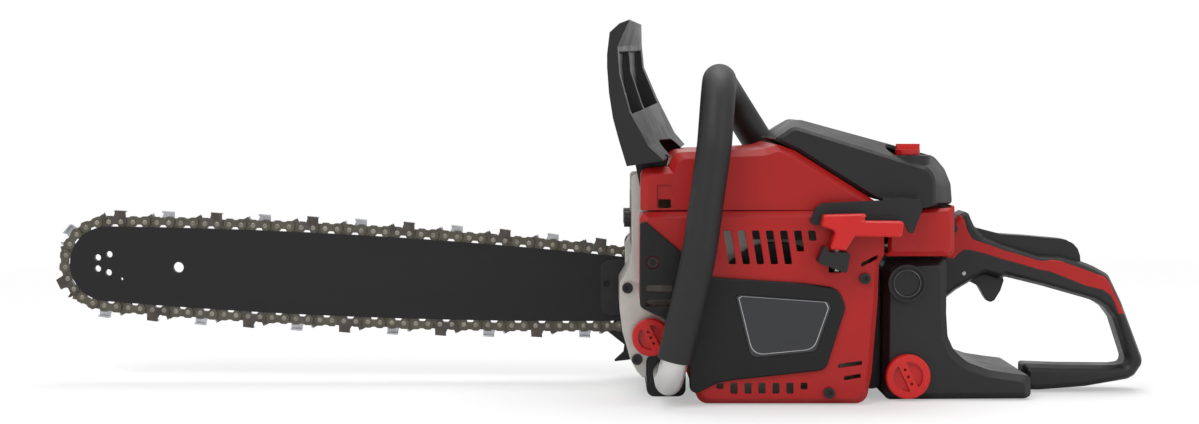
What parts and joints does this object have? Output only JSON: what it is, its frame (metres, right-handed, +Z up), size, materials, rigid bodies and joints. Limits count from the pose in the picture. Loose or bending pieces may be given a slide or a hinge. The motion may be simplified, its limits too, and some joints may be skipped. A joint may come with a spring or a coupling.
{
  "type": "petrol chainsaw",
  "caption": "Petrol chainsaw with guide bar and saw chain, pull starter, tilting hand guard, tube front handle and closed rear handle with throttle trigger.",
  "frame": {"origin": "on the floor plane under the crankshaft's axis, where the flat underside of the crankcase rests", "axes": "+Z up as the saw stands; the guide bar points to -X; the starter side with the pull grip faces -Y"},
  "size_m": [0.8457, 0.2306, 0.2823],
  "materials": {
    "red_shell": "satin moulded",
    "black_shell": "fine grained",
    "tank_plastic": "fine grained",
    "cast": "sand blasted casting",
    "bar_coat": "matt coated steel",
    "chain_steel": "oiled",
    "steel": "bright",
    "rubber": "ribbed matt",
    "tube_alu": "drawn",
    "plate": "plain brushed",
    "muffler_steel": "heat dulled",
    "red_bright": "satin moulded",
    "foam": "felt",
    "cord": "braided"
  },
  "bodies": {
    "engine": {"crankcase_left": "cast", "crankcase_right": "cast", "crankshaft_bearings": "steel", "cylinder": "cast", "spark_plug": "steel", "plug_boot": "rubber", "muffler": "muffler_steel", "carburettor": "cast", "intake_boot": "rubber", "air_filter": "foam", "ignition_coil": "black_shell", "starter_cover": "red_shell", "cover_panel": "black_shell", "face_plate": "plate", "rope_guide": "black_shell", "recoil_spring": "steel", "top_cover": "red_shell", "filter_cover": "black_shell", "air_box": "red_shell", "fuel_tank": "tank_plastic", "mount_cap": "black_shell", "rear_handle": "tank_plastic", "handle_insert": "red_shell", "vibration_mounts": "rubber", "front_handle_tube": "tube_alu", "front_handle_grip": "rubber", "handle_clamp": "black_shell", "guide_bar": "bar_coat", "nose_sprocket": "steel", "saw_chain": "chain_steel", "rim_sprocket": "steel", "clutch_drum": "steel", "brake_band": "steel", "clutch_cover": "black_shell", "bar_studs": "steel", "bar_nuts": "steel", "bar_inner_plate": "steel", "chain_tensioner": "steel", "spike_bumper": "steel", "chain_catcher": "steel", "oil_pump": "cast", "screws": "steel", "hinge_pins": "steel"},
    "crank": {"crankshaft": "steel", "flywheel": "cast", "flywheel_nut": "steel", "clutch_hub": "steel"},
    "recoil": {"starter_pulley": "black_shell", "wound_rope": "cord"},
    "pull_grip": {"starter_handle": "red_bright", "starter_rope": "cord"},
    "guard": {"hand_guard": "black_shell"},
    "trigger": {"throttle_trigger": "black_shell"},
    "lock": {"throttle_lock": "black_shell"},
    "carb_lever": {"throttle_lever": "steel"},
    "fuel_cap_body": {"fuel_cap": "red_bright"},
    "oil_cap_body": {"oil_cap": "red_bright"},
    "filter_knob": {"cover_knob": "red_bright"},
    "choke": {"choke_knob": "black_shell"},
    "stop": {"stop_switch": "black_shell"}
  },
  "joints": [
    {"name": "crank_turn", "type": "hinge", "parent": "engine", "child": "crank", "pos_m": [0, 0, 0.067], "axis": [0, 1, 0], "continuous": true},
    {"name": "starter_pull", "type": "slide", "parent": "engine", "child": "pull_grip", "axis": [0, 0, 1], "range_m": [0, 0.75], "stiffness_N_per_m": 6, "springref_m": -0.5, "deforming": ["starter_rope"]},
    {"name": "recoil_turn", "type": "hinge", "parent": "engine", "child": "recoil", "pos_m": [0, 0, 0.067], "axis": [0, -1, 0], "range_deg": [0, 1560]},
    {"name": "guard_tilt", "type": "hinge", "parent": "engine", "child": "guard", "pos_m": [-0.094, 0, 0.158], "axis": [0, -1, 0], "range_deg": [0, 20]},
    {"name": "trigger_pull", "type": "hinge", "parent": "engine", "child": "trigger", "pos_m": [0.1448, 0, 0.0907], "axis": [0, -1, 0], "range_deg": [0, 14], "stiffness_Nm_per_rad": 0.5, "springref_deg": -11.46},
    {"name": "lock_press", "type": "hinge", "parent": "engine", "child": "lock", "pos_m": [0.1572, 0, 0.112], "axis": [0, 1, 0], "range_deg": [0, 4], "stiffness_Nm_per_rad": 0.5, "springref_deg": -11.46},
    {"name": "carb_lever_turn", "type": "hinge", "parent": "engine", "child": "carb_lever", "pos_m": [0.098, 0, 0.134], "axis": [0, 1, 0], "range_deg": [0, 60]},
    {"name": "fuel_cap_turn", "type": "hinge", "parent": "engine", "child": "fuel_cap_body", "pos_m": [0.0959, -0.06, 0.0181], "axis": [0, 1, 0], "range_deg": [0, 540]},
    {"name": "oil_cap_turn", "type": "hinge", "parent": "engine", "child": "oil_cap_body", "pos_m": [-0.0938, -0.048, 0.0459], "axis": [0, 1, 0], "range_deg": [0, 540]},
    {"name": "filter_knob_turn", "type": "hinge", "parent": "engine", "child": "filter_knob", "pos_m": [0.0952, -0.058, 0.1819], "axis": [0, 0, 1], "range_deg": [0, 90]},
    {"name": "choke_pull", "type": "slide", "parent": "engine", "child": "choke", "axis": [1, 0, 0], "range_m": [0, 0.012]},
    {"name": "stop_switch_turn", "type": "hinge", "parent": "engine", "child": "stop", "pos_m": [0.1356, -0.02, 0.125], "axis": [0, -1, 0], "range_deg": [0, 18]}
  ],
  "couplings": [
    {"joint": "recoil_turn", "follows": "starter_pull", "rad_per_m": 35.09},
    {"joint": "carb_lever_turn", "follows": "trigger_pull", "ratio": 4}
  ]
}
